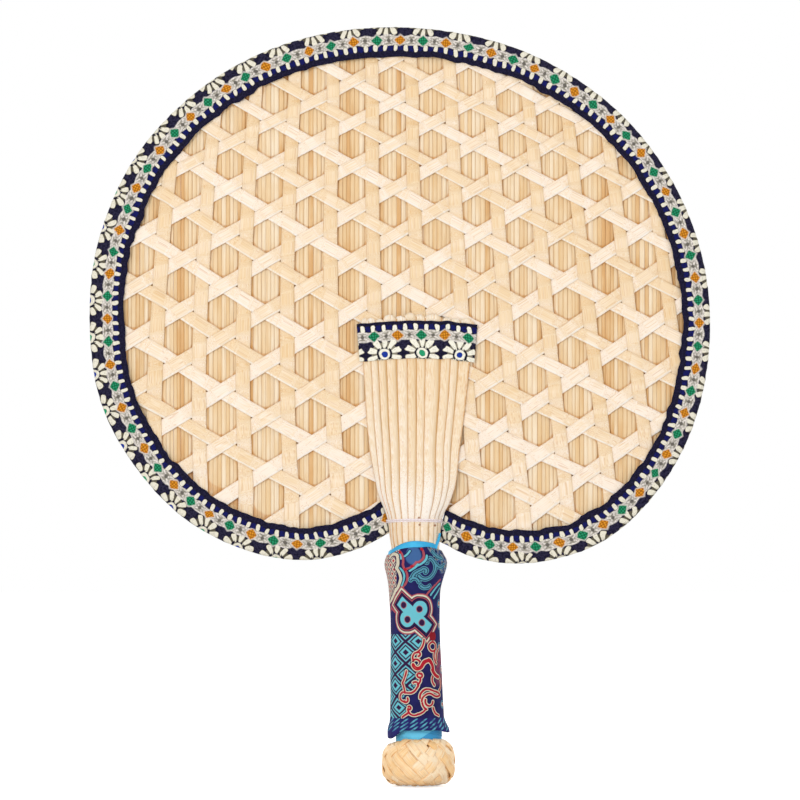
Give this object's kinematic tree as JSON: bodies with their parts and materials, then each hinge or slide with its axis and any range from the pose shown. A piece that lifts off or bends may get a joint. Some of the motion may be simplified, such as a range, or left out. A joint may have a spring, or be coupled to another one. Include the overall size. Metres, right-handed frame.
{
  "type": "woven reed hand fan",
  "caption": "Rigid hand fan: a rounded blade of open hexagonal straw weave over a reed mat, bound with patterned ribbon and clamped by splints to a fabric-covered handle with a plaited knob.",
  "frame": {"origin": "middle of the grip, on the handle axis", "axes": "+Z from the knob to the crown of the blade, -Y out of the woven face, +X to the right of that face"},
  "size_m": [0.2977, 0.0353, 0.3639],
  "materials": {
    "weave_straw": "pale split straw, satin",
    "reed": "dry reed, matt",
    "splint_straw": "pale split straw, satin",
    "brocade": "woven jacquard ribbon, matt",
    "grip_fabric": "woven brocade, matt",
    "blue_ribbon": "plain tape, slight sheen",
    "thread": "pale sewing thread",
    "core_wood": "plain turned wood",
    "pommel_straw": "plaited straw, matt"
  },
  "bodies": {
    "root": {"weave_vertical_01": "weave_straw", "weave_vertical_02": "weave_straw", "weave_vertical_03": "weave_straw", "weave_vertical_04": "weave_straw", "weave_vertical_05": "weave_straw", "weave_vertical_06": "weave_straw", "weave_vertical_07": "weave_straw", "weave_vertical_08": "weave_straw", "weave_vertical_09": "weave_straw", "weave_vertical_10": "weave_straw", "weave_vertical_11": "weave_straw", "weave_vertical_12": "weave_straw", "weave_vertical_13": "weave_straw", "weave_down_01": "weave_straw", "weave_down_02": "weave_straw", "weave_down_03": "weave_straw", "weave_down_04": "weave_straw", "weave_down_05": "weave_straw", "weave_down_06": "weave_straw", "weave_down_07": "weave_straw", "weave_down_08": "weave_straw", "weave_down_09": "weave_straw", "weave_down_10": "weave_straw", "weave_down_11": "weave_straw", "weave_down_12": "weave_straw", "weave_up_01": "weave_straw", "weave_up_02": "weave_straw", "weave_up_03": "weave_straw", "weave_up_04": "weave_straw", "weave_up_05": "weave_straw", "weave_up_06": "weave_straw", "weave_up_07": "weave_straw", "weave_up_08": "weave_straw", "weave_up_09": "weave_straw", "weave_up_10": "weave_straw", "weave_up_11": "weave_straw", "weave_up_12": "weave_straw", "reed_mat": "reed", "front_splint_01": "splint_straw", "front_splint_02": "splint_straw", "front_splint_03": "splint_straw", "front_splint_04": "splint_straw", "front_splint_05": "splint_straw", "front_splint_06": "splint_straw", "front_splint_07": "splint_straw", "front_splint_08": "splint_straw", "front_splint_09": "splint_straw", "front_splint_10": "splint_straw", "front_splint_11": "splint_straw", "back_splints": "splint_straw", "front_trim": "brocade", "back_trim": "brocade", "lashing_thread": "thread", "edge_binding": "brocade", "handle_core": "core_wood", "ribbon_wrap": "blue_ribbon", "grip_sleeve": "grip_fabric", "pommel": "pommel_straw"}
  },
  "joints": []
}
